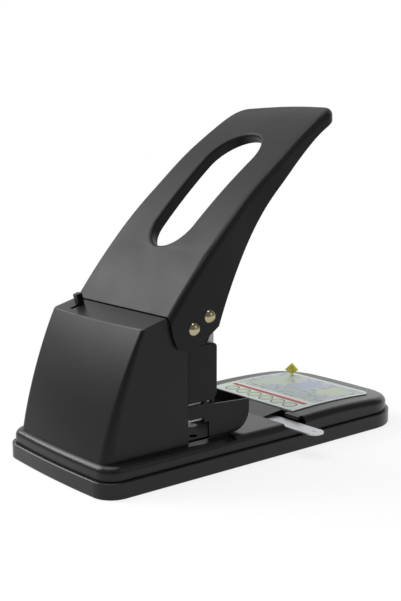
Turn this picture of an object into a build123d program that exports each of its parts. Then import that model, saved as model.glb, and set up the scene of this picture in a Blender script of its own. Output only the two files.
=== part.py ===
"""Heavy-duty two-hole lever punch, in millimetres.

X runs across the machine, -Y is the front, where the paper goes in, and +Z is up.
The origin is the middle of the flat bottom of the base.
"""
import os
from math import atan2, cos, hypot, pi, radians, sin, sqrt

from build123d import *

os.makedirs("parts", exist_ok=True)

# ---------------------------------------------------------------- driving dimensions
# fits
running_gap = 0.05      # radial, a pin turning or sliding in its bush
fixed_gap = 0.02        # radial, a pin or bush that is held in its hole
slide_gap = 0.3         # between flat pieces that slide past each other
seam_gap = 0.3          # between covers that meet edge to edge

# paper and hole pattern
hole_spacing = 80.0     # centre to centre of the two holes
hole_margin = 12.0      # hole centre to the edge of the paper
throat_height = 13.8    # stack that fits between the jaws
stop_y = 67.0           # the back edge of the throat

# base
base_length = 290.0
base_width = 128.0
base_rear_corner = 15.5
base_front_corner = 35.0
base_rear_bow = 2.6
base_front_bow = 4.0
tray_height = 11.0
tray_floor = 2.0
tray_wall = 2.0
tray_rim_depth = 3.0
tray_lip_height = 3.0
tray_lip_wall = 1.6
tray_drop = 14.0        # how far the tray comes down before it is free
shell_inset = 2.5       # the shell stands in from the tray's edge
shell_wall = 2.4
shell_top_z = 20.6
shell_shoulder = 5.0    # radius along the top edge
rib_wall = 1.6

# crowned platform at the front of the base
platform_rear_y = -34.0
platform_rear_z = 22.9
platform_crest_y = -70.0
platform_crest_z = 23.7
platform_front_z = 19.4

# card on the platform
label_width = 92.0
label_length = 88.0
label_thickness = 0.5
label_corner = 10.0
label_lift = 0.2        # the glue film under the card
label_margin = 1.0      # the card starts this far in front of the platform's rear edge
tab_width = 13.0
tab_height = 10.5
tab_film = 0.4
tab_foot = 2.8
tab_x = 35.0
tab_y = -114.0

# paper gauge
ruler_width = 14.0
ruler_thickness = 1.0
ruler_length = 120.0
ruler_reach = 88.0      # tip of the ruler, from the middle of the base
ruler_y = -21.0
ruler_top_z = 19.0
ruler_hole = 3.0
channel_front_gap = 1.2
channel_inner_x = -36.0
channel_pocket = 5.0        # finger pockets in front of the channel, at both its ends
channel_pocket_length = 7.0
ruler_seat_wall = 2.2
leaf_thickness = 0.4
leaf_half = 12.0
leaf_width = 8.0
leaf_well = 1.4

# frame
chassis_thickness = 2.5
chassis_margin = 0.1        # beyond the side plates
chassis_corner = 7.0
chassis_window = (36.0, 30.0)
chassis_window_y = 100.0
chassis_front_y = 4.0
chassis_rear_y = 128.0
plate_thickness = 2.5
plate_ear = 11.5            # above the pivot
plate_front_y = 45.0
plate_rear_y = 104.0
plate_post_z = 93.0
plate_rear_knee_z = 62.0
foot_width = 13.0
foot_front_y = 74.0
foot_rear_y = 100.0
die_thickness = 2.8
die_front_y = 30.0
jaw_rear_y = 64.0
guide_block_height = 15.2
guide_side_wall = 2.4       # from a guide bush to the side plate
guide_pocket = (48.0, 11.0)
guide_pocket_floor = 5.0
tie_rod_diameter = 8.0
tie_rod_end = 5.0
tie_places = [(96.0, 31.0), (90.0, 87.0)]
stop_thickness = 1.5
stop_foot_half = 34.0
stop_foot_depth = 11.0

# lever and its pins
pivot_y = 66.2
pivot_z = 99.2
drive_radius = 15.0
drive_rest_angle = 28.3     # above the horizontal, towards the front
handle_swing = 60.0
pin_diameter = 8.0
drive_pin_diameter = 7.0
rivet_head_diameter = 9.2
rivet_head_height = 2.4
bush_diameter = 12.0
bush_flange = 14.0
roller_diameter = 9.0

# channel section of the lever, in the side view from the pivot: (rearward, up)
sheet = 1.8
lever_gap = 0.4             # between a flange and the head's panel
handle_mid_taper = 5.3      # each side, at the middle place
handle_tip_taper = 9.5      # each side, at the tip
handle_mid_y = -18.3
handle_tip_corner = 12.0
handle_tip_bow = 3.0
handle_edge_radius = 4.5
heel = (20.3, 10.3)
tip = (-137.2, 149.3)
back_bulge = 10.8
tip_under = (-134.5, 137.6)
middle_under = (-61.8, 72.2)
toe = (-21.7, -1.2)
hub_bottom = (2.0, -15.5)
hub_rear = (14.5, -11.0)
hub_side = (18.2, -2.0)
hub_radii = (2.5, 11.0, 6.0, 6.0)

# hand hole
hole_low_station = 75.5
hole_high_station = 137.0
hole_low_radius = 21.5
hole_high_radius = 25.5
lip_depth = 8.5
lip_roll = 2.2          # radius round the hand hole's rim

# carrier, punches and springs
punch_diameter = 6.0
punch_head_diameter = 9.0
punch_head_height = 3.0
punch_retract = 0.4         # tip above the throat at rest
carrier_bottom_z = 84.0
carrier_height = 8.0
carrier_front_y = 46.0
carrier_rear_y = 65.5
cap_thickness = 2.0
lug_thickness = 6.0
lug_x = 26.0
lug_wall = 2.0
slot_rise = 0.4             # above and below the roller
slot_run = 1.2              # beyond the roller's travel, each way
guide_bush_diameter = 10.0
die_bush_diameter = 11.0
die_relief_diameter = 9.0
spring_wire = 1.3
spring_mean_diameter = 12.6
spring_turns = 8.5
spring_closing = 0.45       # how much the pitch closes up at the ends
washer_thickness = 1.0
washer_diameter = 14.4

# paper guard
guard_wall = 1.4
guard_front_y = 13.0
guard_rear_y = 54.3
guard_step_y = 50.3
guard_step_z = 33.0
guard_top_rear_z = 45.1
guard_top_front_z = 42.9
guard_corner = 15.0
guard_ear_z = 66.0
guard_ear_front_y = 45.6
guard_tail_y = 68.3
guard_tail_low_z = 36.4
guard_tail_top_z = 46.0
stud_diameter = 4.0
stud_end = 3.0          # the thinner end that is pressed in the side plate

# head panels and rear cover
skin = 1.9                  # wall of the panels and the cover
cheek_bottom_z = 48.5
cheek_corner = 3.0
cheek_low_corner = 6.0
cheek_boss = 7.0
cheek_screws = [(66.0, 67.5), (66.0, 82.0)]
cheek_screw_length = 4.8
cheek_skin = 1.0            # left over a screw's end
cover_front_y = 70.0
cover_rear_low_y = 138.6
cover_rear_high_y = 108.6
cover_rear_bulge = 3.0
cover_corner_low = 8.0
cover_corner_high = 2.2
cover_bow = 1.8
cover_top_rear_y = 108.0
cover_top_rear_z = 103.4
cover_top_front_y = 88.2
cover_top_front_z = 108.8
cover_edge = 0.6
cover_boss = 8.0
cover_boss_height = 16.0

# lock on the cover
knob_side = 5.0
knob_height = 8.5
knob_x = 36.0
knob_from_front = 7.5       # along the sloping top, from its front edge
knob_neck = 3.4
lock_travel = 6.0
lock_plate_thickness = 1.5
lock_plate_width = 16.0
lock_plate_front = 8.5
lock_plate_rear = 3.8

# screws
screw_diameter = 4.0
small_screw = 3.0
head_ratio = 1.8
driver_recess = 1.2

# ---------------------------------------------------------------- derived places
half_length = base_length / 2
half_width = base_width / 2
punch_x = hole_spacing / 2
punch_y = stop_y - hole_margin
die_top_z = shell_top_z + 0.4
chassis_top_z = die_top_z - die_thickness
chassis_bottom_z = chassis_top_z - chassis_thickness
jaw_bottom_z = die_top_z + throat_height
guide_top_z = jaw_bottom_z + guide_block_height
plate_inner = punch_x + guide_bush_diameter / 2 + guide_side_wall
plate_half_width = plate_inner + plate_thickness    # outer face of a side plate
cross_half_width = plate_inner - slide_gap
shell_bottom_z = tray_height + seam_gap
skin_bottom_z = chassis_top_z
guard_half_width = plate_half_width + slide_gap + guard_wall
skin_half_width = guard_half_width + slide_gap + skin
chassis_half_width = plate_half_width + chassis_margin
handle_half_width = skin_half_width + lever_gap + sheet
handle_mid_half_width = handle_half_width - handle_mid_taper
handle_tip_half_width = handle_half_width - handle_tip_taper
handle_parallel_y = plate_front_y       # the flanges stay parallel over the head
guard_bottom_z = shell_top_z + slide_gap
carrier_top_z = carrier_bottom_z + carrier_height
cheek_top_z = pivot_z - drive_radius * sin(radians(handle_swing - drive_rest_angle))
cheek_top_z = cheek_top_z - drive_pin_diameter / 2 - slide_gap
drive_y = pivot_y - drive_radius * cos(radians(drive_rest_angle))
drive_z = pivot_z + drive_radius * sin(radians(drive_rest_angle))
punch_travel = drive_radius * (
    sin(radians(drive_rest_angle)) + sin(radians(handle_swing - drive_rest_angle)))
punch_tip_z = jaw_bottom_z + punch_retract
swept_low = drive_radius * cos(radians(handle_swing - drive_rest_angle))
half_run = (drive_radius - swept_low) / 2 + slot_run
slot_middle = pivot_y - (drive_radius + swept_low) / 2
slot_half = roller_diameter / 2 + slot_rise
lug_front_y = slot_middle - half_run - slot_half - lug_wall
lug_rear_y = slot_middle + half_run + slot_half + lug_wall
tunnel_top = ruler_top_z + slide_gap / 2
tunnel_floor = ruler_top_z - ruler_thickness - slide_gap / 2
ruler_seat_z = tunnel_floor - ruler_seat_wall
ruler_home = ruler_reach - half_width + shell_inset   # how far the gauge goes in
leaf_floor_z = tunnel_floor - leaf_well
notch_rear_y = 43.0
notch_length = 10.0
label_rear_y = platform_rear_y - label_margin
screw_x = chassis_half_width - 7.0
foot_x = plate_half_width - foot_width + 4.1
skin_screws = [(x, chassis_front_y + 8.0) for x in (-screw_x, screw_x)]
cover_screws = [(x, chassis_rear_y - 11.0) for x in (-screw_x, screw_x)]
foot_screws = [(x, y) for x in (-foot_x, foot_x) for y in (foot_front_y + 6.0, foot_rear_y - 6.0)]
die_screws = [(x, die_front_y + 10.0) for x in (-punch_x / 2, punch_x / 2)]
stop_screws = [(x, stop_y + 6.5) for x in (-22.0, 22.0)]
cap_screws = [(x, punch_y) for x in (-14.0, 14.0)]
jaw_front_y = plate_front_y + 0.6
guide_screws = [(jaw_front_y + 2.6, jaw_bottom_z + 7.6), (jaw_rear_y - 2.2, jaw_bottom_z + 7.6)]
stud_y = (guard_ear_front_y + guard_rear_y) / 2
stud_z = guard_ear_z - 4.0
spring_low_z = guide_top_z + washer_thickness
back_length = hypot(heel[0] - tip[0], tip[1] - heel[1])
back_radius = (back_length ** 2 / 4 + back_bulge ** 2) / (2 * back_bulge)
lever_lean = atan2(tip[1] - heel[1], heel[0] - tip[0])
chord_middle = (pivot_y + (heel[0] + tip[0]) / 2, pivot_z + (heel[1] + tip[1]) / 2)
back_centre = (chord_middle[0] - (back_radius - back_bulge) * sin(lever_lean),
               chord_middle[1] - (back_radius - back_bulge) * cos(lever_lean))
through = base_length       # longer than any piece is wide or high: for cuts that go right through


# ---------------------------------------------------------------- helpers
def save(name, shape):
    """Write one named piece."""
    export_step(shape, f"parts/{name}.step")
    print(f"{name:22s} {len(shape.solids()):3d} solids {shape.volume:12.1f} mm3")


def box(x0, x1, y0, y1, z0, z1):
    """A block between two corners."""
    return Pos((x0 + x1) / 2, (y0 + y1) / 2, (z0 + z1) / 2) * Box(x1 - x0, y1 - y0, z1 - z0)


def both_sides(shape):
    """A piece and its mirror image on the other side, as separate solids."""
    return Compound(shape.solids() + mirror(shape, Plane.YZ).solids())


def rod_x(diameter, x0, x1, y, z):
    """A round bar across the machine."""
    return Pos((x0 + x1) / 2, y, z) * Rot(0, 90, 0) * Cylinder(diameter / 2, x1 - x0)


def rod_z(diameter, x, y, z0, z1):
    """An upright round bar."""
    return Pos(x, y, (z0 + z1) / 2) * Cylinder(diameter / 2, z1 - z0)


def side_face(points, radii=None):
    """A face in the side view from (y, z) points, with a radius for each corner."""
    face = make_face(Polyline(*points, close=True).edges())
    for point, radius in zip(points, radii or []):
        if radius:
            corner = face.vertices().sort_by_distance((point[0], point[1], 0))[0]
            face = fillet(corner, radius)
    return Plane.YZ * face


def across(face, half):
    """A side-view face made as wide as the given half width, both ways."""
    return extrude(face, amount=half, dir=(1, 0, 0), both=True)


def plan_outline(inset=0.0):
    """The outline of the base from above, moved in by the inset."""
    rear = half_length - base_rear_bow
    front = base_front_bow - half_length
    edges = [
        ThreePointArc((half_width, rear), (0, half_length), (-half_width, rear)),
        Line((-half_width, rear), (-half_width, front)),
        ThreePointArc((-half_width, front), (0, -half_length), (half_width, front)),
        Line((half_width, front), (half_width, rear)),
    ]
    face = make_face(edges)
    face = fillet(face.vertices().filter_by(lambda v: v.Y > 0), base_rear_corner)
    face = fillet(face.vertices().filter_by(lambda v: v.Y < front + 1), base_front_corner)
    if inset:
        face = offset(face, amount=-inset, kind=Kind.ARC)
    return face


def plan_block(inset, z0, z1):
    """A block with the base's outline."""
    return Pos(0, 0, z0) * extrude(plan_outline(inset), amount=z1 - z0)


def pan_screw(diameter, length):
    """A screw along -Z, with its head's seat at the origin."""
    head = Cylinder(diameter * head_ratio / 2, diameter * 0.6, align=(Align.CENTER, Align.CENTER, Align.MIN))
    head = fillet(head.edges().sort_by(Axis.Z)[-1], diameter * 0.25)
    shank = Cylinder(diameter / 2, length, align=(Align.CENTER, Align.CENTER, Align.MAX))
    cross = Box(diameter * 1.1, diameter * 0.25, driver_recess)
    cross += Box(diameter * 0.25, diameter * 1.1, driver_recess)
    return head + shank - Pos(0, 0, diameter * 0.6) * cross


def flush_screw(diameter, length, sink):
    """A countersunk screw along -Z, with the flat of its head at the origin."""
    head = Pos(0, 0, -sink / 2) * Cone(diameter / 2, diameter, sink)
    shank = Pos(0, 0, -(length + sink) / 2) * Cylinder(diameter / 2, length - sink)
    return head + shank - Box(diameter * 1.2, diameter * 0.3, driver_recess)


# ---------------------------------------------------------------- base
def make_bottom_tray():
    """The chip tray: a skirt, a floor with low ribs, and a rim that fits in the shell."""
    lip_inset = shell_inset + shell_wall + slide_gap
    rim_inset = lip_inset + tray_lip_wall
    tray = plan_block(0, 0, tray_height)
    tray = fillet(tray.edges().group_by(Axis.Z)[0], 1.0)
    tray = chamfer(tray.edges().group_by(Axis.Z)[-1], 0.5)
    tray -= plan_block(tray_wall, tray_floor, tray_height - tray_rim_depth)
    tray -= plan_block(rim_inset, tray_floor, tray_height)
    lip = plan_block(lip_inset, tray_height - 1, tray_height + tray_lip_height)
    tray += lip - plan_block(rim_inset, tray_height - 1, tray_height + tray_lip_height)
    ribs = 6
    for i in range(ribs):
        y = half_length * ((2 * i + 1) / ribs - 1)
        rib = box(-half_width, half_width, y, y + rib_wall, tray_floor - 1, tray_floor + 3)
        tray += rib & plan_block(tray_wall / 2, tray_floor - 1, tray_floor + 3)
    return tray


def top_profile(drop):
    """Side view of everything under the shell's top line, lowered by the drop."""
    rear_y = half_length + 5
    front_y = -half_length
    rear = (rear_y, shell_top_z - drop)
    step = (ruler_y + ruler_width / 2 + slide_gap, shell_top_z - drop)
    platform = (platform_rear_y, platform_rear_z - drop)
    crest = (platform_crest_y, platform_crest_z - drop)
    front = (front_y, platform_front_z - drop)
    edges = [
        Line((rear_y, 0), rear),
        Line(rear, step),
        Line(step, platform),
        ThreePointArc(platform, crest, front),
        Line(front, (front_y - 5, platform_front_z - drop)),
        Line((front_y - 5, platform_front_z - drop), (front_y - 5, 0)),
        Line((front_y - 5, 0), (rear_y, 0)),
    ]
    return Plane.YZ * make_face(edges)


def platform_height(y):
    """The height of the crowned platform at a place along it."""
    arc = ThreePointArc((platform_rear_y, platform_rear_z), (platform_crest_y, platform_crest_z),
                        (-half_length, platform_front_z))
    centre = arc.arc_center
    return centre.Y + sqrt(arc.radius ** 2 - (y - centre.X) ** 2)


def make_base_shell():
    """The moulded base: a rounded shoulder, a crowned front, and slots for what it carries."""
    over = platform_crest_z + 5
    shell = plan_block(shell_inset, shell_bottom_z, over)
    shell &= across(top_profile(0), half_width)
    top_edges = shell.edges().filter_by(lambda e: e.center().Z > platform_front_z - 2)
    outer = top_edges.filter_by(lambda e: abs(e.center().X) > 1 or abs(e.center().Y) > half_length - 9)
    shell = fillet(outer, shell_shoulder)
    cavity = plan_block(shell_inset + shell_wall, 0, over)
    shell -= cavity & across(top_profile(shell_top_z - skin_bottom_z), half_width)

    # seat of the paper gauge: a bar under the skin, with a tunnel and an open channel
    ruler_rear = ruler_y + ruler_width / 2 + slide_gap / 2
    ruler_front = ruler_y - ruler_width / 2 - slide_gap / 2
    seat_half = half_width - shell_inset - shell_wall / 2
    shell += box(-seat_half, seat_half, ruler_front - rib_wall, ruler_rear + rib_wall,
                 ruler_seat_z, skin_bottom_z + 1)
    tunnel_end = ruler_length - ruler_reach + ruler_home + slide_gap
    shell -= box(-half_width, tunnel_end, ruler_front, ruler_rear, tunnel_floor, tunnel_top)
    shell -= box(-half_width, channel_inner_x, ruler_front - channel_front_gap, ruler_rear,
                 tunnel_floor, over)
    for x in (-half_width, channel_inner_x - channel_pocket_length):
        shell -= box(x, x + channel_pocket_length, ruler_front - channel_pocket, ruler_front, tunnel_floor, over)
    shell -= box(-leaf_half, leaf_half, ruler_y - leaf_width / 2 - slide_gap,
                 ruler_y + leaf_width / 2 + slide_gap, leaf_floor_z, tunnel_floor + 1)

    # opening for the frame, under the cover and the guard
    shell -= box(-chassis_half_width, chassis_half_width, die_front_y - seam_gap,
                 plate_rear_y + 4, skin_bottom_z, over)
    # ribs under the platform
    for x in (-30, 0, 30):
        rib = box(x - rib_wall / 2, x + rib_wall / 2, -half_length, platform_rear_y - 8,
                  tray_height + tray_lip_height + 1, over)
        rib &= across(top_profile(shell_wall / 2), half_width)
        shell += rib & plan_block(shell_inset + shell_wall / 2, 0, over)
    # small sloping rebates beside the guard's foot, with a slot at the front end of each
    inner = guard_half_width + slide_gap
    notch_points = [(-inner, shell_top_z + 1), (-inner, shell_top_z - 0.6),
                    (-half_width + 2, shell_top_z - 2.6), (-half_width - 2, shell_top_z + 1)]
    notch = Plane.XZ * make_face(Polyline(*notch_points, close=True).edges())
    notch = Pos(0, notch_rear_y, 0) * extrude(notch, amount=notch_length, dir=(0, -1, 0))
    notch += box(-inner - 5, -inner, notch_rear_y - notch_length - 0.5, notch_rear_y - notch_length + 1.5,
                 shell_top_z - 2.0, shell_top_z + 1)
    for cut in both_sides(notch).solids():
        shell -= cut
    for x, y in skin_screws:
        shell -= rod_z(screw_diameter + 2 * fixed_gap, x, y, 0, shell_top_z - 0.8)
    for x, y in cover_screws:
        shell -= rod_z(screw_diameter + 2 * fixed_gap, x, y, 0, over)
    return shell


def make_chassis_plate():
    """Steel plate under the skin: chip holes, screw holes and a rounded outline."""
    length = chassis_rear_y - chassis_front_y
    middle = (chassis_rear_y + chassis_front_y) / 2
    outline = fillet(Rectangle(2 * chassis_half_width, length).vertices(), chassis_corner)
    plate = Pos(0, middle, chassis_bottom_z) * extrude(outline, amount=chassis_thickness)
    window = fillet(Rectangle(*chassis_window).vertices(), chassis_corner - 2.0)
    plate -= Pos(0, chassis_window_y, 0) * extrude(window, amount=through)
    for x in (-punch_x, punch_x):
        plate -= rod_z(die_relief_diameter, x, punch_y, 0, shell_top_z)
    for x, y in skin_screws + cover_screws + foot_screws + die_screws:
        plate -= rod_z(screw_diameter + 2 * fixed_gap, x, y, 0, shell_top_z)
    for x, y in stop_screws:
        plate -= rod_z(small_screw + 2 * fixed_gap, x, y, 0, shell_top_z)
    return plate


def make_ruler():
    """The sliding paper gauge: a flat steel strip with a rounded end and a pull hole."""
    start = -ruler_reach
    strip = box(start, start + ruler_length, ruler_y - ruler_width / 2, ruler_y + ruler_width / 2,
                ruler_top_z - ruler_thickness, ruler_top_z)
    ends = strip.edges().filter_by(Axis.Z)
    strip = fillet(ends.sort_by(Axis.X)[:2], ruler_width / 2 - 0.5)
    strip = chamfer(strip.edges().filter_by(Axis.Z).sort_by(Axis.X)[-2:], 1.5)
    return strip - rod_z(ruler_hole, start + ruler_width / 2, ruler_y, 0, shell_top_z)


def make_ruler_spring():
    """A bowed leaf in the seat's well, which keeps the gauge where it is set."""
    low = leaf_floor_z + 0.02
    high = ruler_top_z - ruler_thickness - 0.05
    half = leaf_half - 0.6
    edges = [
        ThreePointArc((-half, low + leaf_thickness), (0, high), (half, low + leaf_thickness)),
        Line((half, low + leaf_thickness), (half, low)),
        ThreePointArc((half, low), (0, high - leaf_thickness), (-half, low)),
        Line((-half, low), (-half, low + leaf_thickness)),
    ]
    leaf = extrude(Plane.XZ * make_face(edges), amount=leaf_width / 2, dir=(0, 1, 0), both=True)
    return Pos(0, ruler_y, 0) * leaf


def make_label_plate():
    """The card on the platform, bent to its crown."""
    card = across(top_profile(-label_lift - label_thickness), label_width / 2)
    card -= across(top_profile(-label_lift), label_width / 2)
    outline = Rectangle(label_width, label_length)
    front = outline.vertices().sort_by(Axis.Y)[:2]
    outline = fillet(front, label_corner)
    middle = label_rear_y - label_length / 2
    return card & (Pos(0, middle, 0) * extrude(outline, amount=2 * platform_crest_z))


def make_label_tab():
    """A folded film tab that stands on one corner, near the card's far front corner."""
    half = tab_width / 2
    leaf = make_face(Polyline((0, 0), (half, tab_height / 2), (0, tab_height), close=True).edges())
    leaf = extrude(Plane.XZ * leaf, amount=tab_film, dir=(0, 1, 0))
    tab = Rot(0, 0, 28) * leaf + Rot(0, 0, 152) * (Pos(0, -tab_film, 0) * leaf)
    foot = box(-tab_foot / 2, tab_foot / 2, -tab_foot / 2, tab_foot / 2, 0, tab_film)
    z = platform_height(tab_y + 2.0) + label_lift + label_thickness + 0.05
    return Pos(tab_x, tab_y, z) * Rot(0, 0, 40) * (tab + foot)


# ---------------------------------------------------------------- frame
def arc_slot(radius, half_slot, low_angle, high_angle):
    """Side view of a slot that follows the drive pin round the pivot."""
    ring = Circle(radius + half_slot) - Circle(radius - half_slot)
    reach = 3 * radius
    fan = [(0, 0)]
    steps = 4
    for i in range(steps + 1):
        a = radians(low_angle + (high_angle - low_angle) * i / steps)
        fan.append((-reach * cos(a), reach * sin(a)))
    slot = ring & make_face(Polyline(*fan, close=True).edges())
    low = radians(low_angle)
    slot += Pos(-radius * cos(low), radius * sin(low)) * Circle(half_slot)
    return Plane.YZ * (Pos(pivot_y, pivot_z) * slot)


def make_side_plate():
    """Left side plate: lower leg behind the throat, upper jaw, ear for the pivot, bent foot."""
    ear = plate_ear
    points = [
        (plate_rear_y, chassis_top_z), (plate_rear_y, plate_rear_knee_z),
        (pivot_y + 20.0, pivot_z + 1.0), (pivot_y + 7.0, pivot_z + ear), (pivot_y - 6.0, pivot_z + ear),
        (plate_front_y, plate_post_z), (plate_front_y, jaw_bottom_z), (stop_y + 0.5, jaw_bottom_z),
        (stop_y + 0.5, chassis_top_z),
    ]
    radii = [0, 12, 3, 6, 5, 0.8, 2, 3, 0]
    plate = across(side_face(points, radii), plate_half_width)
    plate &= box(-plate_half_width, -plate_inner, 0, through, 0, through)
    clearance = drive_pin_diameter / 2 + 0.9
    slot = arc_slot(drive_radius, clearance, drive_rest_angle - handle_swing, 75)
    plate -= across(slot, plate_half_width)
    window = [(78.0, 32.0), (97.0, 32.0), (97.0, 62.0), (88.0, 84.0), (78.0, 84.0)]
    plate -= across(side_face(window, [4, 4, 6, 4, 4]), plate_half_width)
    foot = box(-plate_half_width, -plate_half_width + foot_width, foot_front_y, foot_rear_y,
               chassis_top_z, chassis_top_z + plate_thickness)
    plate += foot
    plate -= rod_x(bush_diameter + 2 * fixed_gap, -through, 0, pivot_y, pivot_z)
    for y, z in tie_places:
        plate -= rod_x(tie_rod_end + 2 * fixed_gap, -through, 0, y, z)
    for y, z in guide_screws:
        plate -= rod_x(small_screw + 2 * fixed_gap, -through, 0, y, z)
        plate -= Pos(-plate_half_width + small_screw / 4, y, z) * Rot(0, -90, 0) * Cone(
            small_screw / 2 + fixed_gap, small_screw + fixed_gap, small_screw / 2)
    for y, z in cheek_screws:
        plate -= rod_x(small_screw + 2 * fixed_gap, -through, 0, y, z)
        plate -= Pos(-plate_inner - small_screw / 4, y, z) * Rot(0, 90, 0) * Cone(
            small_screw / 2 + fixed_gap, small_screw + fixed_gap, small_screw / 2)
    for x, y in foot_screws:
        plate -= rod_z(screw_diameter + 2 * fixed_gap, x, y, 0, foot_width + chassis_top_z)
    plate -= rod_x(stud_end + 2 * fixed_gap, -through, 0, stud_y, stud_z)
    return plate


def make_guide_block():
    """Upper jaw between the side plates: it holds the punch guides and stops the paper."""
    block = box(-cross_half_width, cross_half_width, jaw_front_y, jaw_rear_y, jaw_bottom_z, guide_top_z)
    block = chamfer(block.edges().filter_by(Axis.X), 1.0)
    for x in (-punch_x, punch_x):
        block -= rod_z(guide_bush_diameter + 2 * fixed_gap, x, punch_y, 0, through)
    pocket = fillet(Rectangle(*guide_pocket).vertices(), 4.0)
    block -= Pos(0, punch_y, jaw_bottom_z + guide_pocket_floor) * extrude(pocket, amount=guide_block_height)
    for y, z in guide_screws:
        block -= rod_x(small_screw + 2 * fixed_gap, -through, -cross_half_width + 9, y, z)
        block -= rod_x(small_screw + 2 * fixed_gap, cross_half_width - 9, through, y, z)
    return block


def make_die_plate():
    """Hardened lower jaw with a bored seat for each die ring."""
    plate = box(-cross_half_width, cross_half_width, die_front_y, stop_y - 0.5, chassis_top_z, die_top_z)
    front = plate.edges().filter_by(Axis.X).group_by(Axis.Z)[-1].sort_by(Axis.Y)[0]
    plate = chamfer(front, 1.2)
    for x in (-punch_x, punch_x):
        plate -= rod_z(die_bush_diameter + 2 * fixed_gap, x, punch_y, 0, through)
    for x, y in die_screws:
        plate -= rod_z(screw_diameter + 2 * fixed_gap, x, y, 0, through)
        sink = screw_diameter / 2
        plate -= Pos(x, y, die_top_z - sink / 2) * Cone(
            screw_diameter / 2 + fixed_gap, screw_diameter + fixed_gap, sink)
    return plate


def make_die_bushes():
    """The two hardened rings that the punches shear against."""
    rings = []
    for x in (-punch_x, punch_x):
        ring = rod_z(die_bush_diameter, x, punch_y, chassis_top_z, die_top_z)
        rings.append(ring - rod_z(punch_diameter + 2 * running_gap, x, punch_y, 0, through))
    return Compound(rings)


def make_paper_stop():
    """Angle plate at the back of the throat."""
    bend_y = stop_y + stop_thickness
    bend_z = chassis_top_z + stop_thickness
    stop = box(-cross_half_width, cross_half_width, stop_y, bend_y, chassis_top_z, jaw_bottom_z)
    stop += box(-stop_foot_half, stop_foot_half, stop_y, stop_y + stop_foot_depth, chassis_top_z, bend_z)
    inner = stop.edges().filter_by(Axis.X).filter_by(
        lambda e: abs(e.center().Y - bend_y) < 0.1 and abs(e.center().Z - bend_z) < 0.1)
    stop = fillet(inner, 1.0)
    for x, y in stop_screws:
        stop -= rod_z(small_screw + 2 * fixed_gap, x, y, 0, through)
    return stop


def make_tie_rods():
    """Shouldered rods that hold the side plates apart behind the mechanism."""
    rods = []
    for y, z in tie_places:
        rod = rod_x(tie_rod_diameter, -plate_inner, plate_inner, y, z)
        rod += rod_x(tie_rod_end, -plate_half_width, plate_half_width, y, z)
        rods.append(rod)
    return Compound(rods)


def make_pivot_bushes():
    """Bronze flanged bushes of the pivot pin, one in each side plate."""
    bush = rod_x(bush_diameter, -plate_half_width - 1.2, -plate_inner, pivot_y, pivot_z)
    bush += rod_x(bush_flange, -plate_half_width - 1.2, -plate_half_width, pivot_y, pivot_z)
    bush -= rod_x(pin_diameter + 2 * running_gap, -through, 0, pivot_y, pivot_z)
    return both_sides(bush)


def make_guard_studs():
    """Studs on the side plates that the guard's ears slide on."""
    stud = rod_x(stud_diameter, -guard_half_width - 0.1, -plate_half_width, stud_y, stud_z)
    stud += rod_x(stud_end, -plate_half_width, -plate_inner, stud_y, stud_z)
    return both_sides(stud)


# ---------------------------------------------------------------- carrier and punches
def make_punch_carrier():
    """Cross bar that pushes the punches, with two slotted lugs for the drive rollers."""
    bar = box(-cross_half_width, cross_half_width, carrier_front_y, carrier_rear_y,
              carrier_bottom_z, carrier_top_z)
    bar = chamfer(bar.edges().filter_by(Axis.X), 1.0)
    lug_top = drive_z + slot_half + lug_wall
    for side in (-1, 1):
        x = side * lug_x
        lug = box(x - lug_thickness / 2, x + lug_thickness / 2, lug_front_y, lug_rear_y,
                  carrier_top_z - 1, lug_top)
        lug = fillet(lug.edges().filter_by(Axis.X).group_by(Axis.Z)[-1], slot_half + lug_wall - 0.5)
        slot = Plane.YZ * (Pos(slot_middle, drive_z) * SlotCenterToCenter(2 * half_run, 2 * slot_half))
        lug -= Pos(x, 0, 0) * extrude(slot, amount=lug_thickness, dir=(1, 0, 0), both=True)
        bar += lug
    for x in (-punch_x, punch_x):
        bar -= rod_z(punch_diameter + 2 * fixed_gap, x, punch_y, 0, through)
        bar -= rod_z(punch_head_diameter + 2 * fixed_gap, x, punch_y, carrier_top_z - punch_head_height, through)
    for x, y in cap_screws:
        bar -= rod_z(screw_diameter + 2 * fixed_gap, x, y, carrier_bottom_z + 1, through)
    return bar


def make_carrier_cap():
    """Plate that traps the punch heads in the carrier, notched round the lugs."""
    cap = box(-cross_half_width + 1, cross_half_width - 1, carrier_front_y + 1.5, carrier_rear_y - 0.8,
              carrier_top_z, carrier_top_z + cap_thickness)
    cap = fillet(cap.edges().filter_by(Axis.Z), 1.5)
    for side in (-1, 1):
        x = side * lug_x
        cap -= box(x - lug_thickness / 2 - slide_gap, x + lug_thickness / 2 + slide_gap,
                   0, lug_rear_y + slide_gap, 0, through)
    for x, y in cap_screws:
        cap -= rod_z(screw_diameter + 2 * fixed_gap, x, y, 0, through)
    return cap


def make_punch(x):
    """A cutting pin: a head, a ground shank and a hollowed tip."""
    punch = rod_z(punch_diameter, x, punch_y, punch_tip_z, carrier_top_z)
    punch += rod_z(punch_head_diameter, x, punch_y, carrier_top_z - punch_head_height, carrier_top_z)
    hollow = punch_diameter
    drop = sqrt(hollow ** 2 - (punch_diameter / 2) ** 2)
    return punch - Pos(x, punch_y, punch_tip_z - drop) * Rot(90, 0, 0) * Cylinder(hollow, 12)


def make_guide_bushes():
    """Bronze bushes that the punches run in."""
    bushes = []
    for x in (-punch_x, punch_x):
        bush = rod_z(guide_bush_diameter, x, punch_y, jaw_bottom_z, guide_top_z)
        bushes.append(bush - rod_z(punch_diameter + 2 * running_gap, x, punch_y, 0, through))
    return Compound(bushes)


def make_spring_washers():
    """Flat washers that the return springs stand on."""
    washers = []
    for x in (-punch_x, punch_x):
        washer = rod_z(washer_diameter, x, punch_y, guide_top_z, spring_low_z)
        washers.append(washer - rod_z(punch_diameter + 1.0, x, punch_y, 0, through))
    return Compound(washers)


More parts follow.
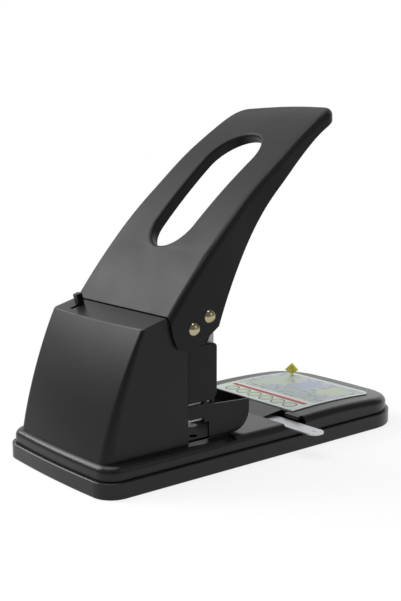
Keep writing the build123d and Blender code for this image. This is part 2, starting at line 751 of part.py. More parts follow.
def spring_point(share):
    """A point on the spring's centre line and the direction there, at a share of its length."""
    turn = 2 * pi * spring_turns
    rise = carrier_bottom_z - spring_low_z - spring_wire - 2 * slide_gap
    angle = turn * share
    z = rise * (share - spring_closing * sin(2 * pi * share) / (2 * pi))
    slope = rise * (1 - spring_closing * cos(2 * pi * share))
    radius = spring_mean_diameter / 2
    place = Vector(radius * cos(angle), radius * sin(angle), z + spring_low_z + spring_wire / 2 + slide_gap)
    along = Vector(-radius * turn * sin(angle), radius * turn * cos(angle), slope).normalized()
    return place, along


def spring_path():
    """The centre line as pairs of tangent arcs, one pair to each quarter turn."""
    pairs = int(round(4 * spring_turns))
    edges = []
    start, along = spring_point(0)
    edges.append(Line(start - along * spring_wire, start))
    for i in range(pairs):
        p, a = spring_point(i / pairs)
        q, b = spring_point((i + 1) / pairs)
        chord = q - p
        both = a + b
        spread = 2 * (1 - a.dot(b))
        reach = (sqrt(chord.dot(both) ** 2 + spread * chord.dot(chord)) - chord.dot(both)) / spread
        middle = (p + q + (a - b) * reach) * 0.5
        edges.append(Edge.make_tangent_arc(p, a, middle))
        edges.append(Edge.make_tangent_arc(middle, edges[-1] % 1, q))
    end, along = spring_point(1)
    edges.append(Line(end, end + along * spring_wire))
    return Wire([e if isinstance(e, Edge) else e.edge() for e in edges])


def spring_self_gap():
    """The least clear distance between one turn of the spring and the next."""
    per_turn = 36
    count = int(per_turn * spring_turns)
    points = [spring_point(i / count)[0] for i in range(count + 1)]
    least = spring_mean_diameter
    for i, p in enumerate(points):
        for q in points[i + per_turn // 2:]:
            least = min(least, (p - q).length)
    return least - spring_wire


def make_return_spring(x):
    """A helical spring round a punch, one unbroken wire."""
    path = spring_path()
    section = Plane(origin=path @ 0, z_dir=path % 0) * Circle(spring_wire / 2)
    spring = sweep(section, path=path)
    expected = path.length * pi * spring_wire ** 2 / 4
    print(f"spring volume {spring.volume:.1f}, section times length {expected:.1f}")
    return Pos(x, punch_y, 0) * spring


# ---------------------------------------------------------------- lever
def from_pivot(offset):
    """A (y, z) place from its offset to the pivot."""
    return (pivot_y + offset[0], pivot_z + offset[1])


def back_arc(depth):
    """The lever's back in the side view, moved in by the depth, and run on past the tip."""
    (ay, az), (by, bz) = from_pivot(heel), from_pivot(tip)
    start = atan2(az - back_centre[1], ay - back_centre[0])
    end = atan2(bz - back_centre[1], by - back_centre[0]) + 12.0 / back_radius
    spots = []
    for angle in (start, (start + end) / 2, end):
        reach = back_radius - depth
        spots.append((back_centre[0] + reach * cos(angle), back_centre[1] + reach * sin(angle)))
    return spots


def lever_profile():
    """Side view of the lever: back, flange edge and hub."""
    back_heel, back_middle, back_tip = back_arc(0)
    low_tip = from_pivot(tip_under)
    places = [from_pivot(p) for p in (toe, hub_bottom, hub_rear, hub_side)]
    edges = [
        ThreePointArc(back_heel, back_middle, back_tip),
        Line(back_tip, (back_tip[0], low_tip[1])),
        Line((back_tip[0], low_tip[1]), low_tip),
        ThreePointArc(low_tip, from_pivot(middle_under), places[0]),
    ]
    around = places + [back_heel]
    edges += [Line(start, end) for start, end in zip(around, around[1:])]
    face = make_face(edges)
    for place, radius in zip(places, hub_radii):
        corner = face.vertices().sort_by_distance((place[0], place[1], 0))[0]
        face = fillet(corner, radius)
    return Plane.YZ * face


def under_back(depth):
    """Side view of everything under the lever's back, moved in by the depth."""
    back_heel, back_middle, back_tip = back_arc(depth)
    low = pivot_z - 40
    behind = (back_heel[0] + 24, back_heel[1] - 32)
    edges = [ThreePointArc(back_heel, back_middle, back_tip)]
    around = [back_tip, (back_tip[0], low), (behind[0], low), behind, back_heel]
    edges += [Line(start, end) for start, end in zip(around, around[1:])]
    return Plane.YZ * make_face(edges)


def lever_plane():
    """A plane through the pivot that lies along the lever, with -Y towards its tip."""
    return Plane(origin=(0, pivot_y, pivot_z), x_dir=(1, 0, 0),
                 z_dir=(0, sin(lever_lean), cos(lever_lean)))


def lever_taper(inset):
    """The lever's outline from above: parallel at the hub, then narrowing to a bowed tip."""
    front = pivot_y + tip[0] + inset
    hub_end = (handle_half_width - inset, handle_parallel_y)
    corner = (handle_tip_half_width - inset, front + handle_tip_bow)
    side = Spline(hub_end, (handle_mid_half_width - inset, handle_mid_y), corner,
                  tangents=[(0, -1), (-0.08, -1)])
    start = (hub_end[0], cover_rear_low_y)
    edges = [
        Line((-start[0], start[1]), start),
        Line(start, hub_end),
        side.edge(),
        ThreePointArc(corner, (0, front), (-corner[0], corner[1])),
        mirror(side, Plane.YZ).edge(),
        Line((-hub_end[0], hub_end[1]), (-start[0], start[1])),
    ]
    face = make_face(edges)
    for x in (corner[0], -corner[0]):
        near = face.vertices().sort_by_distance((x, corner[1], 0))[0]
        face = fillet(near, handle_tip_corner - inset)
    return extrude(face, amount=2 * tip[1])


def round_back(solid, depth):
    """Round the edges of the lever's back: along both sides and round the tip."""
    chosen = []
    for edge in solid.edges():
        middle = edge @ 0.5
        reach = hypot(middle.Y - back_centre[0], middle.Z - back_centre[1])
        if abs(reach - back_radius + depth) < 0.05 and middle.Y < pivot_y + heel[0] - 5:
            chosen.append(edge)
    return fillet(chosen, handle_edge_radius - depth)


def hand_hole(grow):
    """The oval hand hole, grown by a wall, as a prism square to the lever's back."""
    low = Pos(0, -hole_low_station) * Circle(hole_low_radius + grow)
    high = Pos(0, -hole_high_station) * Circle(hole_high_radius + grow)
    shape = make_hull(low.edges() + high.edges())
    return extrude(lever_plane() * shape, amount=through, both=True)


def make_handle():
    """The lever: a pressed steel channel with rounded edges and a rolled hand hole."""
    outer = round_back(across(lever_profile(), handle_half_width + 5) & lever_taper(0), 0)
    inner = round_back(across(under_back(sheet), handle_half_width + 5) & lever_taper(sheet), sheet)
    lip = (hand_hole(sheet) - hand_hole(0)) & outer
    lip -= across(under_back(lip_depth), handle_half_width + 5)
    lever = outer - inner - hand_hole(0) + lip
    rim = []
    for edge in lever.edges():
        middle = edge @ 0.5
        reach = hypot(middle.Y - back_centre[0], middle.Z - back_centre[1])
        if abs(reach - back_radius) < 0.05 and abs(middle.X) < hole_high_radius + 1 and middle.Y < pivot_y:
            rim.append(edge)
    lever = fillet([e for e in rim if abs((e @ 0.5).Y - pivot_y - tip[0]) > 10], lip_roll)
    for diameter, y, z in ((pin_diameter, pivot_y, pivot_z), (drive_pin_diameter, drive_y, drive_z)):
        lever -= rod_x(diameter + 2 * fixed_gap, -through, through, y, z)
    return lever


def make_rivet_pin(diameter, y, z):
    """A pin right across the lever, with a domed head outside each flange."""
    pin = rod_x(diameter, -handle_half_width, handle_half_width, y, z)
    base = rivet_head_diameter / 2
    radius = (base ** 2 + rivet_head_height ** 2) / (2 * rivet_head_height)
    ball = Pos(-handle_half_width - rivet_head_height + radius, y, z) * Sphere(radius)
    dome = ball & box(-handle_half_width - 5, -handle_half_width, y - 10, y + 10, z - 10, z + 10)
    return pin + dome + mirror(dome, Plane.YZ)


def make_drive_rollers():
    """Rollers on the drive pin, one in each slot of the carrier."""
    rollers = []
    for side in (-1, 1):
        x = side * lug_x
        half = lug_thickness / 2 + 0.4
        roller = rod_x(roller_diameter, x - half, x + half, drive_y, drive_z)
        rollers.append(roller - rod_x(drive_pin_diameter + 2 * running_gap, -through, through, drive_y, drive_z))
    return Compound(rollers)


# ---------------------------------------------------------------- guard
def make_paper_guard():
    """The shoe that rests over the throat: its curved front lets the paper lift it."""
    def outline(inset):
        front = guard_front_y + inset
        low = guard_bottom_z + inset
        corner = guard_corner - inset
        centre = (guard_front_y + guard_corner, guard_bottom_z + guard_corner)
        bend = (centre[0] - corner * sin(pi / 4), centre[1] - corner * cos(pi / 4))
        high = guard_top_rear_z + (1 if inset else 0)
        edges = [
            Line((guard_rear_y, guard_step_z), (guard_rear_y, high)),
            Line((guard_rear_y, high), (front, guard_top_front_z + (1 if inset else 0))),
            Line((front, guard_top_front_z + (1 if inset else 0)), (front, centre[1])),
            ThreePointArc((front, centre[1]), bend, (centre[0], low)),
            Line((centre[0], low), (guard_step_y, low)),
            Line((guard_step_y, low), (guard_step_y, guard_step_z)),
            Line((guard_step_y, guard_step_z), (guard_rear_y, guard_step_z)),
        ]
        return Plane.YZ * make_face(edges)

    guard = across(outline(0), guard_half_width)
    edges = guard.edges().filter_by(lambda e: abs(abs(e.center().X) - guard_half_width) < 0.01)
    front_edges = edges.filter_by(lambda e: e.center().Y < guard_front_y + guard_corner - 1)
    front_edges = front_edges.filter_by(lambda e: e.center().Z < guard_top_front_z - 1)
    guard = fillet(front_edges, 1.2)
    inside = across(outline(guard_wall), guard_half_width - guard_wall)
    inside += box(guard_wall - guard_half_width, guard_half_width - guard_wall,
                  guard_front_y + guard_corner + 0.5, guard_rear_y + 1, 0, through)
    guard -= inside
    ear = [(guard_ear_front_y, guard_step_z + 2), (guard_ear_front_y, guard_ear_z),
           (guard_rear_y, guard_ear_z), (guard_rear_y, guard_tail_top_z),
           (guard_tail_y, guard_tail_top_z), (guard_tail_y, guard_tail_low_z),
           (guard_rear_y - 1, guard_tail_low_z)]
    ears = across(side_face(ear, [0, 3, 3, 2, 2, 2, 0]), guard_half_width)
    ears -= box(guard_wall - guard_half_width, guard_half_width - guard_wall, 0, through, 0, through)
    slot_low = stud_z - throat_height - slide_gap
    slot = Plane.YZ * make_face(Polyline(
        (stud_y - stud_diameter / 2 - 0.1, slot_low - stud_diameter / 2),
        (stud_y + stud_diameter / 2 + 0.1, slot_low - stud_diameter / 2),
        (stud_y + stud_diameter / 2 + 0.1, stud_z + stud_diameter / 2 + slide_gap),
        (stud_y - stud_diameter / 2 - 0.1, stud_z + stud_diameter / 2 + slide_gap), close=True).edges())
    return guard + ears - across(slot, guard_half_width + 1)


# ---------------------------------------------------------------- head panels and cover
def make_cheek():
    """Left panel of the head, held off the side plate by two bosses."""
    points = [(plate_front_y, cheek_bottom_z), (cover_front_y - seam_gap, cheek_bottom_z),
              (cover_front_y - seam_gap, cheek_top_z), (plate_front_y, cheek_top_z)]
    panel = across(side_face(points, [cheek_low_corner, 0, 0, cheek_corner]), skin_half_width)
    panel &= box(-skin_half_width, -skin_half_width + skin, 0, through, 0, through)
    outer = panel.edges().filter_by(lambda e: abs(e.center().X + skin_half_width) < 0.01)
    panel = fillet(outer.filter_by(lambda e: e.center().Y < cover_front_y - 1), 0.6)
    for y, z in cheek_screws:
        panel += rod_x(cheek_boss, -skin_half_width + skin / 2, -plate_half_width, y, z)
        panel -= rod_x(small_screw + 2 * fixed_gap, cheek_skin - skin_half_width, 0, y, z)
    return panel


def cover_section(share, inset):
    """The cover's outline from above at a share of its rear face's height."""
    rear = cover_rear_low_y + (cover_rear_high_y - cover_rear_low_y) * share
    rear += cover_rear_bulge * 4 * share * (1 - share) - inset
    radius = cover_corner_low + (cover_corner_high - cover_corner_low) * min(share, 1.0)
    radius = max(radius - inset, 0.5)
    half = skin_half_width - inset
    front = cover_front_y - (10 if inset else 0)
    z = shell_top_z + (cover_top_rear_z - shell_top_z) * share
    edges = [
        Line((half, front), (half, rear - cover_bow)),
        ThreePointArc((half, rear - cover_bow), (0, rear), (-half, rear - cover_bow)),
        Line((-half, rear - cover_bow), (-half, front)),
        Line((-half, front), (half, front)),
    ]
    face = make_face(edges)
    face = fillet(face.vertices().filter_by(lambda v: v.Y > front + 1), radius)
    return Pos(0, 0, z) * face


def cover_form(inset):
    """The cover's outer form, or the space in it, under its sloping top."""
    shares = [0.0, 0.33, 0.66, 0.9, 1.12]
    if inset:
        shares = [-0.04] + shares[1:]
    form = loft([cover_section(share, inset) for share in shares])
    slope = (cover_top_rear_z - cover_top_front_z) / (cover_top_rear_y - cover_top_front_y)
    low = shell_top_z - (10 if inset else 0)
    front = cover_front_y - (20 if inset else 0)
    fall = inset * sqrt(1 + slope ** 2)
    top_front = (cover_top_front_y - (40 if inset else 0), 0)
    points = [(150, low), (150, cover_top_rear_z - fall + slope * (150 - cover_top_rear_y)),
              (top_front[0], cover_top_front_z - fall + slope * (top_front[0] - cover_top_front_y))]
    if inset:
        points += [(front, points[-1][1]), (front, low)]
    else:
        points += [(cover_top_front_y - 2.7, pivot_z + 4.0), (pivot_y + 10.0, pivot_z - 5.0),
                   (cover_front_y, pivot_z - 7.0), (cover_front_y, low)]
    return form & across(side_face(points), skin_half_width + 5)


def cover_top_plane():
    """A plane on the cover's sloping top, from its front edge, with +Y down the slope."""
    rise = cover_top_front_z - cover_top_rear_z
    run = cover_top_rear_y - cover_top_front_y
    length = hypot(rise, run)
    return Plane(origin=(knob_x, cover_top_front_y, cover_top_front_z), x_dir=(1, 0, 0),
                 z_dir=(0, rise / length, run / length))


def make_rear_cover():
    """The housing over the mechanism: bowed rear, corners that widen downwards, a slot on top."""
    outer = cover_form(0)
    rim = outer.edges().filter_by(
        lambda e: e.center().Z > cover_top_rear_z - 2 and e.center().Y > cover_top_front_y + 1)
    outer = chamfer(rim, cover_edge)
    cover = outer - cover_form(skin)
    half_slot = knob_neck / 2 + slide_gap
    slot = box(-half_slot, half_slot, knob_from_front - half_slot,
               knob_from_front + lock_travel + half_slot, -6, 3)
    cover -= cover_top_plane() * slot
    for x, y in cover_screws:
        side = x / abs(x)
        wall_x = side * (skin_half_width - skin / 2)
        web = box(min(x, wall_x), max(x, wall_x), y - skin / 2, y + skin / 2,
                  shell_top_z + slide_gap, shell_top_z + cover_boss_height)
        cover += rod_z(cover_boss, x, y, shell_top_z, shell_top_z + cover_boss_height) + web
        cover -= rod_z(screw_diameter + 2 * fixed_gap, x, y, 0, shell_top_z + cover_boss_height - 2)
    return cover


def make_lock_slider():
    """The square knob on the cover, with its neck through the slot."""
    half = knob_side / 2
    neck = knob_neck / 2
    knob = box(-half, half, -half, half, slide_gap, knob_height)
    knob = fillet(knob.edges().filter_by(lambda e: e.center().Z > knob_height / 2), 0.6)
    knob += box(-neck, neck, -neck, neck, -skin - slide_gap, slide_gap + 1)
    return cover_top_plane() * (Pos(0, knob_from_front, 0) * knob)


def make_lock_plate():
    """The sliding plate under the cover that the knob carries, with a turned-down lip."""
    half = lock_plate_width / 2
    front = -lock_plate_front
    top = -skin - slide_gap
    plate = box(-half, half, front, lock_plate_rear, top - lock_plate_thickness, top)
    plate = fillet(plate.edges().filter_by(Axis.Z), 2.0)
    lip = box(-half + 3, half - 3, front, front + lock_plate_thickness, top - 5, top - 1)
    return cover_top_plane() * (Pos(0, knob_from_front, 0) * (plate + lip))


def make_flush_set(places, diameter, length, plane_z):
    """Countersunk screws from above."""
    return Compound([Pos(x, y, plane_z) * flush_screw(diameter, length, diameter / 2) for x, y in places])


def make_pan_set(places, diameter, length, plane_z, upside_down=False):
    """Pan head screws from above, or from below when turned upside down."""
    turn = Rot(180, 0, 0) if upside_down else Rot(0, 0, 0)
    return Compound([Pos(x, y, plane_z) * turn * pan_screw(diameter, length) for x, y in places])


def make_side_screws(places, outer_x, screw):
    """Screws along X at the given (y, z) places, on both sides of the machine."""
    left = [Pos(-outer_x, y, z) * Rot(0, -90, 0) * screw for y, z in places]
    right = [Pos(outer_x, y, z) * Rot(0, 90, 0) * screw for y, z in places]
    return Compound(left + right)


def main():
    """Build every piece and write it under its name."""
    side_plate = make_side_plate()
    cheek = make_cheek()
    save("bottom_tray", make_bottom_tray())
    save("base_shell", make_base_shell())
    save("chassis_plate", make_chassis_plate())
    save("ruler", make_ruler())
    save("ruler_spring", make_ruler_spring())
    save("label_plate", make_label_plate())
    save("label_tab", make_label_tab())
    save("side_plate_left", side_plate)
    save("side_plate_right", mirror(side_plate, Plane.YZ))
    save("guide_block", make_guide_block())
    save("guide_bushes", make_guide_bushes())
    save("die_plate", make_die_plate())
    save("die_bushes", make_die_bushes())
    save("paper_stop", make_paper_stop())
    save("rear_tie_rods", make_tie_rods())
    save("pivot_bushes", make_pivot_bushes())
    save("guard_studs", make_guard_studs())
    save("punch_carrier", make_punch_carrier())
    save("carrier_cap", make_carrier_cap())
    save("punch_left", make_punch(-punch_x))
    save("punch_right", make_punch(punch_x))
    save("spring_washers", make_spring_washers())
    save("return_spring_left", make_return_spring(-punch_x))
    save("return_spring_right", make_return_spring(punch_x))
    save("handle", make_handle())
    save("pivot_pin", make_rivet_pin(pin_diameter, pivot_y, pivot_z))
    save("drive_pin", make_rivet_pin(drive_pin_diameter, drive_y, drive_z))
    save("drive_rollers", make_drive_rollers())
    save("paper_guard", make_paper_guard())
    save("cheek_left", cheek)
    save("cheek_right", mirror(cheek, Plane.YZ))
    save("rear_cover", make_rear_cover())
    save("lock_slider", make_lock_slider())
    save("lock_plate", make_lock_plate())
    save("chassis_screws", make_pan_set(skin_screws, screw_diameter, chassis_thickness + 1.5,
                                        chassis_bottom_z, True))
    save("cover_screws", make_pan_set(cover_screws, screw_diameter, 18.0, chassis_bottom_z, True))
    save("foot_screws", make_pan_set(foot_screws, screw_diameter, plate_thickness + chassis_thickness,
                                     chassis_top_z + plate_thickness))
    save("die_screws", make_flush_set(die_screws, screw_diameter, die_thickness + chassis_thickness, die_top_z))
    save("stop_screws", make_pan_set(stop_screws, small_screw, stop_thickness + chassis_thickness,
                                     chassis_top_z + stop_thickness))
    save("guide_screws", make_side_screws(guide_screws, plate_half_width,
                                          flush_screw(small_screw, 10.0, small_screw / 2)))
    cheek_screw = Rot(180, 0, 0) * flush_screw(small_screw, cheek_screw_length, small_screw / 2)
    save("cheek_screws", make_side_screws(cheek_screws, plate_inner, cheek_screw))
    save("cap_screws", make_pan_set(cap_screws, screw_diameter, cap_thickness + 6.0, carrier_top_z + cap_thickness))
    print(f"least gap between turns {spring_self_gap():.2f} mm")
    print(f"punch travel {punch_travel:.2f} mm, drive pin at y {drive_y:.2f} z {drive_z:.2f}")


if __name__ == "__main__":
    main()
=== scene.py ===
# %% [markdown]
# # A heavy-duty two-hole punch, dressed from its CAD frame
#
# The shapes of the machine come from its CAD model: every pressed, moulded and turned piece is
# already there, in metres, in the place it has on the real machine. What is left for this lesson
# is what the eye reads as "real": the finish of each surface, the light, and the camera.
#
# The frame is loaded first, and its box is kept, so that nothing added later can make the
# machine bigger than it is.

# %% Load the frame
import math

import bpy
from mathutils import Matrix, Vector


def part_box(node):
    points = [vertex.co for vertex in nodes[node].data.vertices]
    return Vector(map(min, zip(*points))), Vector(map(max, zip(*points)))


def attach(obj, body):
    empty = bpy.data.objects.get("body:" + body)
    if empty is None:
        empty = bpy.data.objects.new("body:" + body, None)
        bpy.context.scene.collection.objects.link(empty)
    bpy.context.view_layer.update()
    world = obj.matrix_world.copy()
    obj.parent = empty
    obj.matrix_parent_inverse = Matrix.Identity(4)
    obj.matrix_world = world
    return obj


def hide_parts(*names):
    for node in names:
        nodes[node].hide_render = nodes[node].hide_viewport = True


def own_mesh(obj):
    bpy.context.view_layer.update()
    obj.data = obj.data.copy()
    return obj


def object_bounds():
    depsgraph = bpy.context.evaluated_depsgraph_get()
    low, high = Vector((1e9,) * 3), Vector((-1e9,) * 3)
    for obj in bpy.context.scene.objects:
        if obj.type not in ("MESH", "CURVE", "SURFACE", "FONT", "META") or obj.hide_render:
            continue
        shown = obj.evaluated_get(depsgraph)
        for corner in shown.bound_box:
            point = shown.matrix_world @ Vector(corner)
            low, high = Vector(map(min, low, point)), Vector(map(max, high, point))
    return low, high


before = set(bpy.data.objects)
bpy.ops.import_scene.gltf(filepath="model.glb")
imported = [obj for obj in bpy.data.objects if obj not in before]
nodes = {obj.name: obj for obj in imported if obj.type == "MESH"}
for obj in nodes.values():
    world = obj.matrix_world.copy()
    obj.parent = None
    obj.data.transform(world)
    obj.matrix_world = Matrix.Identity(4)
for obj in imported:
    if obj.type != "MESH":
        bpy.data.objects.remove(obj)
cad_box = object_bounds()
scene = bpy.context.scene
scene.view_settings.view_transform = "Standard"
print("nodes on the frame:", len(nodes))

# %% [markdown]
# ## Measures
#
# Blender works in metres, and this object is talked about in millimetres, so one name turns one
# into the other. The machine's own box is printed first, to see that the right model was loaded.

# %% Units and the machine's size
MM = 0.001
low, high = cad_box
machine_length = high[1] - low[1]
machine_height = high[2] - low[2]
print(f"machine {machine_length / MM:.0f} mm long and {machine_height / MM:.0f} mm high")

# %% [markdown]
# ## Colours
#
# A colour picker shows sRGB, but a shader computes with linear light. One function does the
# change, and every colour below is written the way a picker shows it.


# %% From a picker's hex value to linear light
def colour(hex_value):
    """A linear colour with full alpha, from a hex value such as 1c1c1e."""
    channels = [int(hex_value[i:i + 2], 16) / 255 for i in (0, 2, 4)]
    linear = [c / 12.92 if c <= 0.04045 else ((c + 0.055) / 1.055) ** 2.4 for c in channels]
    return (*linear, 1.0)


print("mid grey 808080 is", round(colour("808080")[0], 3), "in linear light")

# %% [markdown]
# ## A small way to write node trees
#
# A material is a graph. Written out call by call it is long and hard to read, so one small
# function adds any node, sets what is given by name, and makes its links. An input may be named
# by its label or by its number, and a link is given as the output socket that feeds it.


# %% One function that adds a node
def add(tree, kind, inputs=None, **settings):
    """A node of any kind, with its settings, its input values and its incoming links."""
    node = tree.nodes.new(kind)
    for name, value in settings.items():
        setattr(node, name, value)
    for key, value in (inputs or {}).items():
        socket = node.inputs[key]
        if isinstance(value, bpy.types.NodeSocket):
            tree.links.new(value, socket)
        else:
            socket.default_value = value
    return node


def new_material(name):
    """An empty material, its tree, and its object coordinates in metres."""
    material = bpy.data.materials.new(name)
    material.use_nodes = True
    tree = material.node_tree
    tree.nodes.clear()
    place = add(tree, "ShaderNodeTexCoord").outputs["Object"]
    return material, tree, place


def finish_with(tree, shader):
    """Join a shader to the material's output."""
    add(tree, "ShaderNodeOutputMaterial", {"Surface": shader.outputs[0]})


print("node helper ready")

# %% [markdown]
# ## Black enamel
#
# The lever and the two panels of the head are pressed steel with a stoved black powder coat. Such
# a coat is not a mirror: it melts into a skin with a fine ripple, called orange peel, so a lamp
# in it has a soft edge. The ripple is about half a millimetre from crest to crest and a few
# thousandths deep. Handling rubs the coat a little smoother here and there, which shows as slow
# changes of gloss.

# %% Powder-coated steel
ENAMEL_PEEL = 0.55 * MM
HANDLED_PATCH = 38 * MM
NOISE_LOW, NOISE_HIGH = 0.3, 0.7        # most of a noise texture lies between these


def powder_coat(name, base, rub, smoothest, roughest, level):
    """A stoved powder coat: dark, half gloss, with orange peel and slow changes of gloss."""
    material, tree, place = new_material(name)
    peel = add(tree, "ShaderNodeTexNoise", {"Vector": place, "Scale": 1 / ENAMEL_PEEL, "Detail": 2.0})
    slow = add(tree, "ShaderNodeTexNoise", {"Vector": place, "Scale": 1 / HANDLED_PATCH, "Detail": 4.0})
    gloss = add(tree, "ShaderNodeMapRange", {
        "Value": slow.outputs["Fac"], "From Min": NOISE_LOW, "From Max": NOISE_HIGH,
        "To Min": smoothest, "To Max": roughest})
    tone = add(tree, "ShaderNodeValToRGB", {"Fac": slow.outputs["Fac"]})
    tone.color_ramp.elements[0].color = colour(base)
    tone.color_ramp.elements[1].color = colour(rub)
    ripple = add(tree, "ShaderNodeBump", {"Height": peel.outputs["Fac"], "Strength": 0.10,
                                          "Distance": 0.05 * MM})
    shader = add(tree, "ShaderNodeBsdfPrincipled", {
        "Base Color": tone.outputs["Color"], "Roughness": gloss.outputs["Result"],
        "IOR": 1.5, "Specular IOR Level": level, "Normal": ripple.outputs["Normal"]})
    finish_with(tree, shader)
    return material


enamel = powder_coat("powder_coat_black", "101012", "151517", 0.40, 0.50, 0.20)
print("made", enamel.name)

# %% [markdown]
# ## Moulded black plastic
#
# The base, the chip tray, the cover and the paper guard are injection-moulded ABS. The tool's
# surface is copied into the part: here a fine spark-eroded grain on the outside. The real one is
# about a fifth of a millimetre, and it is drawn at a third so that it shows. Seen flat on, the
# plastic is nearly black, and seen along the surface, as the top of the base is, it turns
# silvery, because every smooth surface reflects more at a low angle. That is what the shader's
# IOR gives by itself.

# %% Moulded ABS
MOULD_GRAIN = 0.35 * MM
MELT_FLOW = 60 * MM


def moulded_abs(name, base, worn, roughness, level):
    """Injection-moulded black ABS with a fine grain."""
    material, tree, place = new_material(name)
    grain = add(tree, "ShaderNodeTexNoise", {"Vector": place, "Scale": 1 / MOULD_GRAIN, "Detail": 3.0})
    flow = add(tree, "ShaderNodeTexNoise", {"Vector": place, "Scale": 1 / MELT_FLOW, "Detail": 2.0})
    tone = add(tree, "ShaderNodeValToRGB", {"Fac": flow.outputs["Fac"]})
    tone.color_ramp.elements[0].color = colour(base)
    tone.color_ramp.elements[1].color = colour(worn)
    rough = add(tree, "ShaderNodeMapRange", {
        "Value": flow.outputs["Fac"], "From Min": NOISE_LOW, "From Max": NOISE_HIGH,
        "To Min": roughness - 0.03, "To Max": roughness + 0.04})
    bump = add(tree, "ShaderNodeBump", {"Height": grain.outputs["Fac"], "Strength": 0.07,
                                        "Distance": 0.03 * MM})
    shader = add(tree, "ShaderNodeBsdfPrincipled", {
        "Base Color": tone.outputs["Color"], "Roughness": rough.outputs["Result"],
        "IOR": 1.53, "Specular IOR Level": level, "Normal": bump.outputs["Normal"]})
    finish_with(tree, shader)
    return material


base_abs = moulded_abs("moulded_abs_base", "141416", "19191b", 0.28, 0.25)
cover_abs = moulded_abs("moulded_abs_cover", "101012", "161618", 0.38, 0.22)
guard_abs = moulded_abs("moulded_abs_guard", "0e0e10", "141416", 0.40, 0.20)
print("made", base_abs.name, cover_abs.name, guard_abs.name)

# %% [markdown]
# ## Rolled steel strip
#
# The paper gauge is cut from cold-rolled strip and dulled with a light zinc plating. Rolling
# leaves fine lines along the strip, less than a tenth of a millimetre apart. They are too fine
# for a picture of the whole machine, so they are drawn at a third of a millimetre. The lines run
# along one axis, so the noise is stretched along it: X for the gauge, and Z for upright plates,
# punches and wire. The same function makes the ground tool steel and a near-black steel for
# the die plate and its bushes, the chassis plate, the stop and the guide block.

# %% Steel with a direction
ROLL_LINES = 0.33 * MM
LINE_STRETCH = 0.03         # a line is some thirty times longer than it is wide
STREAK = 0.12               # how much the roughness changes from line to line
STEEL_CLOUD = 9 * MM


def drawn_steel(name, pale, dark, roughness, along):
    """Steel with fine lines along one axis: rolled strip, ground faces or drawn wire."""
    material, tree, place = new_material(name)
    stretch = [1.0, 1.0, 1.0]
    stretch[along] = LINE_STRETCH
    mapped = add(tree, "ShaderNodeMapping", {"Vector": place, "Scale": stretch})
    lines = add(tree, "ShaderNodeTexNoise", {"Vector": mapped.outputs["Vector"],
                                             "Scale": 1 / ROLL_LINES, "Detail": 4.0})
    cloud = add(tree, "ShaderNodeTexNoise", {"Vector": place, "Scale": 1 / STEEL_CLOUD, "Detail": 3.0})
    mix = add(tree, "ShaderNodeMath", {0: lines.outputs["Fac"], 1: cloud.outputs["Fac"]},
              operation="MULTIPLY")
    tone = add(tree, "ShaderNodeValToRGB", {"Fac": mix.outputs["Value"]})
    tone.color_ramp.elements[0].position = 0.10
    tone.color_ramp.elements[0].color = colour(dark)
    tone.color_ramp.elements[1].position = 0.45
    tone.color_ramp.elements[1].color = colour(pale)
    rough = add(tree, "ShaderNodeMapRange", {
        "Value": lines.outputs["Fac"], "From Min": NOISE_LOW, "From Max": NOISE_HIGH,
        "To Min": roughness - STREAK / 2, "To Max": roughness + STREAK / 2})
    bump = add(tree, "ShaderNodeBump", {"Height": lines.outputs["Fac"], "Strength": 0.08,
                                        "Distance": 0.02 * MM})
    shader = add(tree, "ShaderNodeBsdfPrincipled", {
        "Base Color": tone.outputs["Color"], "Metallic": 1.0,
        "Roughness": rough.outputs["Result"], "Normal": bump.outputs["Normal"]})
    finish_with(tree, shader)
    return material


gauge_steel = drawn_steel("zinc_plated_strip", "d8d9da", "c2c4c6", 0.46, 0)
plate_steel = drawn_steel("cold_rolled_plate", "a6a8aa", "7e8082", 0.42, 2)
jaw_steel = drawn_steel("ground_tool_steel", "c4c4c4", "a3a3a4", 0.26, 0)
# near-black steel, much darker than the bare plates, on the die plate and its bushes, the chassis plate,
# the stop and the guide block
dark_steel = drawn_steel("near_black_steel", "222326", "151618", 0.55, 0)
punch_steel = drawn_steel("ground_punch_steel", "cacaca", "a8a8a9", 0.20, 2)
spring_steel = drawn_steel("drawn_spring_wire", "8b8d90", "5f6164", 0.32, 2)
print("made six steels")

# %% [markdown]
# ## Rivets
#
# The two domed heads on the side of the lever are nickel-plated. Nickel is a warm metal: its
# reflections lean to straw. A dome shows the whole room in small, bright above and dark below,
# so the finish is smooth, and only a faint unevenness from the riveting tool is added.

# %% Nickel plate
HAMMER_MARK = 2.4 * MM


def nickel_plate(name):
    """Bright nickel over a riveted dome."""
    material, tree, place = new_material(name)
    marks = add(tree, "ShaderNodeTexNoise", {"Vector": place, "Scale": 1 / HAMMER_MARK, "Detail": 2.0})
    tone = add(tree, "ShaderNodeValToRGB", {"Fac": marks.outputs["Fac"]})
    tone.color_ramp.elements[0].color = colour("8f8666")
    tone.color_ramp.elements[1].color = colour("bdb394")
    bump = add(tree, "ShaderNodeBump", {"Height": marks.outputs["Fac"], "Strength": 0.12,
                                        "Distance": 0.06 * MM})
    shader = add(tree, "ShaderNodeBsdfPrincipled", {
        "Base Color": tone.outputs["Color"], "Metallic": 1.0, "Roughness": 0.12,
        "Normal": bump.outputs["Normal"]})
    finish_with(tree, shader)
    return material


nickel = nickel_plate("nickel_plate")
print("made", nickel.name)

# %% [markdown]
# ## Sintered bronze
#
# The bushes that the pins and punches run in are pressed from bronze powder and filled with
# oil. The surface is full of fine pores, so it is duller and darker than turned bronze.

# %% Sintered bronze
PORE = 0.3 * MM


